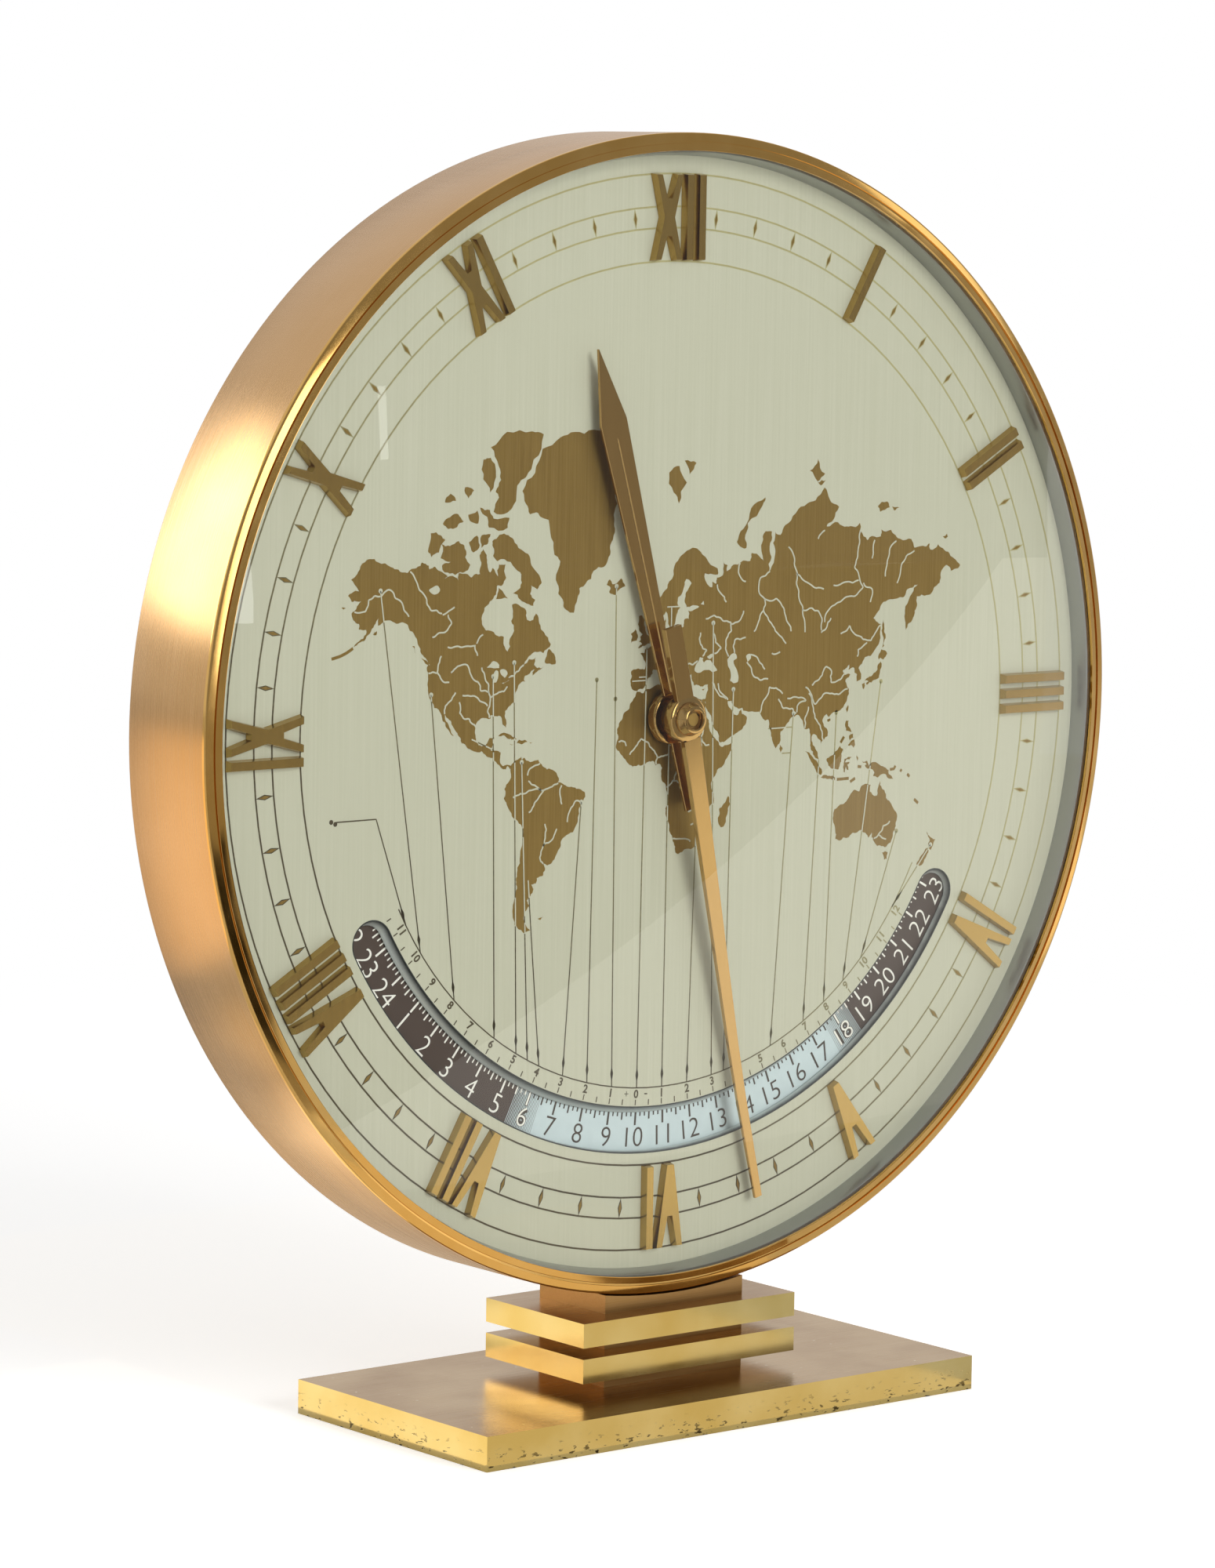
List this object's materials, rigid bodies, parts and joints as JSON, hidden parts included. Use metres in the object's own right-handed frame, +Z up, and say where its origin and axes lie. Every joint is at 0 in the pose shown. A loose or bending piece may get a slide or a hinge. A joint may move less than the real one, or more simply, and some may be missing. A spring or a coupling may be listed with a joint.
{
  "type": "world-time table clock",
  "caption": "Round brass table clock on a stepped brass stand, with a world-map dial, raised Roman numerals, two hands and a slow hour ring behind an arc slot.",
  "frame": {"origin": "centre of the base plate's underside, on the surface the clock stands on", "axes": "+Z up; the dial faces -Y; +X to the right seen from the front"},
  "size_m": [0.265, 0.0706, 0.2931],
  "materials": {
    "brass_polished": "polished",
    "brass_brushed": "brushed",
    "brass_satin": "satin",
    "brass_hands": "polished",
    "brass_wheels": "machined",
    "steel": "plated",
    "glass": "clear",
    "flange_paint": "matte",
    "dial_paint": "matte",
    "ring_paint": "printed",
    "housing_plastic": "moulded",
    "battery_wrap": "plain"
  },
  "bodies": {
    "case": {"base_plate": "brass_satin", "lower_neck": "brass_brushed", "lower_slab": "brass_satin", "middle_neck": "brass_brushed", "upper_slab": "brass_satin", "upper_neck": "brass_brushed", "stand_bolt_left": "steel", "stand_bolt_right": "steel", "case_band": "brass_brushed", "bezel": "brass_polished", "glass": "glass", "inner_flange": "flange_paint", "dial": "dial_paint", "rear_cover": "brass_brushed", "rear_screw_1": "steel", "rear_screw_2": "steel", "rear_screw_3": "steel", "front_plate": "steel", "movement_housing": "housing_plastic", "motor": "steel", "battery": "battery_wrap", "contact_spring_plus": "steel", "contact_spring_minus": "steel", "numeral_1_1i": "brass_hands", "numeral_2_1i": "brass_hands", "numeral_2_2i": "brass_hands", "numeral_3_1i": "brass_hands", "numeral_3_2i": "brass_hands", "numeral_3_3i": "brass_hands", "numeral_4_1i": "brass_hands", "numeral_4_2v": "brass_hands", "numeral_5_1v": "brass_hands", "numeral_6_1v": "brass_hands", "numeral_6_2i": "brass_hands", "numeral_7_1v": "brass_hands", "numeral_7_2i": "brass_hands", "numeral_7_3i": "brass_hands", "numeral_8_1v": "brass_hands", "numeral_8_2i": "brass_hands", "numeral_8_3i": "brass_hands", "numeral_8_4i": "brass_hands", "numeral_9_1i": "brass_hands", "numeral_9_2x": "brass_hands", "numeral_10_1x": "brass_hands", "numeral_11_1x": "brass_hands", "numeral_11_2i": "brass_hands", "numeral_12_1x": "brass_hands", "numeral_12_2i": "brass_hands", "numeral_12_3i": "brass_hands"},
    "minute_train": {"centre_arbor": "steel", "minute_hand": "brass_hands", "hand_nut": "brass_polished", "setting_knob": "brass_polished"},
    "motion_wheel": {"minute_wheel": "brass_wheels"},
    "hour_train": {"hour_wheel": "brass_wheels", "hour_hand": "brass_hands"},
    "idler": {"ring_idler": "brass_wheels"},
    "hour_ring": {"day_disc": "ring_paint"},
    "rotor": {"motor_pinion": "brass_wheels"},
    "door": {"battery_door": "brass_brushed"}
  },
  "joints": [
    {"name": "minute_turn", "type": "hinge", "parent": "case", "child": "minute_train", "pos_m": [0, 0, 0.1606], "axis": [0, 1, 0], "continuous": true},
    {"name": "motion_wheel_turn", "type": "hinge", "parent": "case", "child": "motion_wheel", "pos_m": [0.024, 0, 0.1606], "axis": [0, 1, 0], "continuous": true},
    {"name": "hour_turn", "type": "hinge", "parent": "case", "child": "hour_train", "pos_m": [0, 0, 0.1606], "axis": [0, 1, 0], "continuous": true},
    {"name": "idler_turn", "type": "hinge", "parent": "case", "child": "idler", "pos_m": [-0.024, 0, 0.1606], "axis": [0, 1, 0], "continuous": true},
    {"name": "hour_ring_turn", "type": "hinge", "parent": "case", "child": "hour_ring", "pos_m": [0, 0, 0.1606], "axis": [0, 1, 0], "continuous": true},
    {"name": "rotor_turn", "type": "hinge", "parent": "case", "child": "rotor", "pos_m": [0, 0, 0.1846], "axis": [0, 1, 0], "continuous": true},
    {"name": "battery_door_hinge", "type": "hinge", "parent": "case", "child": "door", "pos_m": [-0.03025, 0.01765, 0.12775], "axis": [0, 0, 1], "range_deg": [0, 110]}
  ],
  "couplings": [
    {"joint": "motion_wheel_turn", "follows": "minute_turn", "ratio": -0.33333},
    {"joint": "hour_turn", "follows": "minute_turn", "ratio": 0.083333},
    {"joint": "idler_turn", "follows": "minute_turn", "ratio": -0.041667},
    {"joint": "hour_ring_turn", "follows": "minute_turn", "ratio": 0.013889},
    {"joint": "rotor_turn", "follows": "minute_turn", "ratio": -5}
  ]
}
